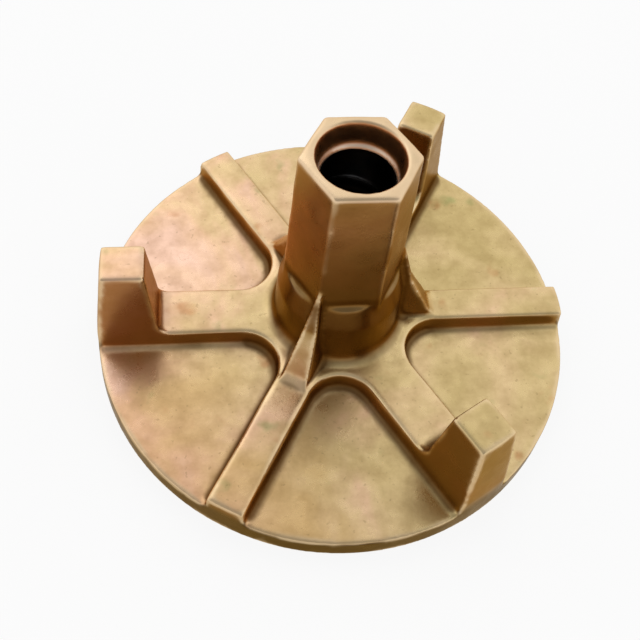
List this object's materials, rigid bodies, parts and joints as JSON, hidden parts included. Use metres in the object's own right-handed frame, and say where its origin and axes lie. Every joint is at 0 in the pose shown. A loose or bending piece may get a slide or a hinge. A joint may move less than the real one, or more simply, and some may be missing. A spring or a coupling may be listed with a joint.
{
  "type": "formwork wing nut",
  "caption": "Cast formwork wing nut: round ribbed bearing plate, upright turning wings at the rim and a tall six-sided hub, bored right through for a threaded tie rod.",
  "frame": {"origin": "centre of the flat bearing face, on the axis of the bore", "axes": "+Z along the bore from the bearing face towards the end of the hub; +X along a plain rib; -X along a rib that carries a wing"},
  "size_m": [0.12, 0.12, 0.067],
  "materials": {
    "zinc_plated_iron": "ductile iron, as cast, with yellow passivated zinc plating: satin, uneven gold with pink and olive tints"
  },
  "bodies": {
    "root": {"wing_nut": "zinc_plated_iron"}
  },
  "joints": []
}
